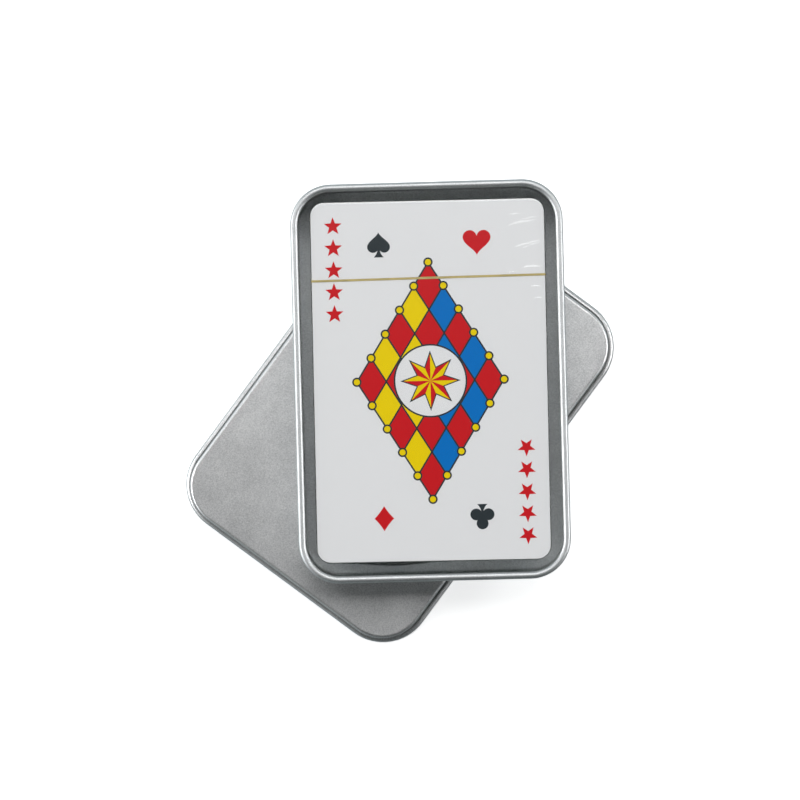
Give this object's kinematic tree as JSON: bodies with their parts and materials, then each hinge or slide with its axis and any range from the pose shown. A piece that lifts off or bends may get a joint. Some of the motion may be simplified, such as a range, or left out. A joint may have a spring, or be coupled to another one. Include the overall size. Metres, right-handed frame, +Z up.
{
  "type": "playing card deck in tin",
  "caption": "Film-sealed deck of playing cards lying in the open tray of a tinplate slip-lid tin, which stands on its turned lid.",
  "frame": {"origin": "on the table, under the middle of the whole outline, which is the lid's middle", "axes": "+X across the tray, +Y along the tray to the cards' top edge, +Z up from the table"},
  "size_m": [0.1096, 0.115, 0.0279],
  "materials": {
    "tinplate": "frosted tinplate",
    "card_stock": "coated and printed",
    "clear_film": "clear gloss",
    "gold_tape": "metallised gold"
  },
  "bodies": {
    "lid": {"lid": "tinplate"},
    "tray": {"tray": "tinplate"},
    "pack": {"wrap_film": "clear_film", "tear_tape": "gold_tape", "ace_of_spades": "card_stock", "two_of_spades": "card_stock", "three_of_spades": "card_stock", "four_of_spades": "card_stock", "five_of_spades": "card_stock", "six_of_spades": "card_stock", "seven_of_spades": "card_stock", "eight_of_spades": "card_stock", "nine_of_spades": "card_stock", "ten_of_spades": "card_stock", "jack_of_spades": "card_stock", "queen_of_spades": "card_stock", "king_of_spades": "card_stock", "ace_of_hearts": "card_stock", "two_of_hearts": "card_stock", "three_of_hearts": "card_stock", "four_of_hearts": "card_stock", "five_of_hearts": "card_stock", "six_of_hearts": "card_stock", "seven_of_hearts": "card_stock", "eight_of_hearts": "card_stock", "nine_of_hearts": "card_stock", "ten_of_hearts": "card_stock", "jack_of_hearts": "card_stock", "queen_of_hearts": "card_stock", "king_of_hearts": "card_stock", "ace_of_clubs": "card_stock", "two_of_clubs": "card_stock", "three_of_clubs": "card_stock", "four_of_clubs": "card_stock", "five_of_clubs": "card_stock", "six_of_clubs": "card_stock", "seven_of_clubs": "card_stock", "eight_of_clubs": "card_stock", "nine_of_clubs": "card_stock", "ten_of_clubs": "card_stock", "jack_of_clubs": "card_stock", "queen_of_clubs": "card_stock", "king_of_clubs": "card_stock", "ace_of_diamonds": "card_stock", "two_of_diamonds": "card_stock", "three_of_diamonds": "card_stock", "four_of_diamonds": "card_stock", "five_of_diamonds": "card_stock", "six_of_diamonds": "card_stock", "seven_of_diamonds": "card_stock", "eight_of_diamonds": "card_stock", "nine_of_diamonds": "card_stock", "ten_of_diamonds": "card_stock", "jack_of_diamonds": "card_stock", "queen_of_diamonds": "card_stock", "king_of_diamonds": "card_stock", "wild_card_plain": "card_stock", "wild_card_coloured": "card_stock"}
  },
  "joints": [
    {"name": "tray_lift", "type": "slide", "parent": "lid", "child": "tray", "axis": [0, 0, 1], "range_m": [0, 0.04]},
    {"name": "pack_lift", "type": "slide", "parent": "tray", "child": "pack", "axis": [0, 0, 1], "range_m": [0, 0.03]}
  ]
}
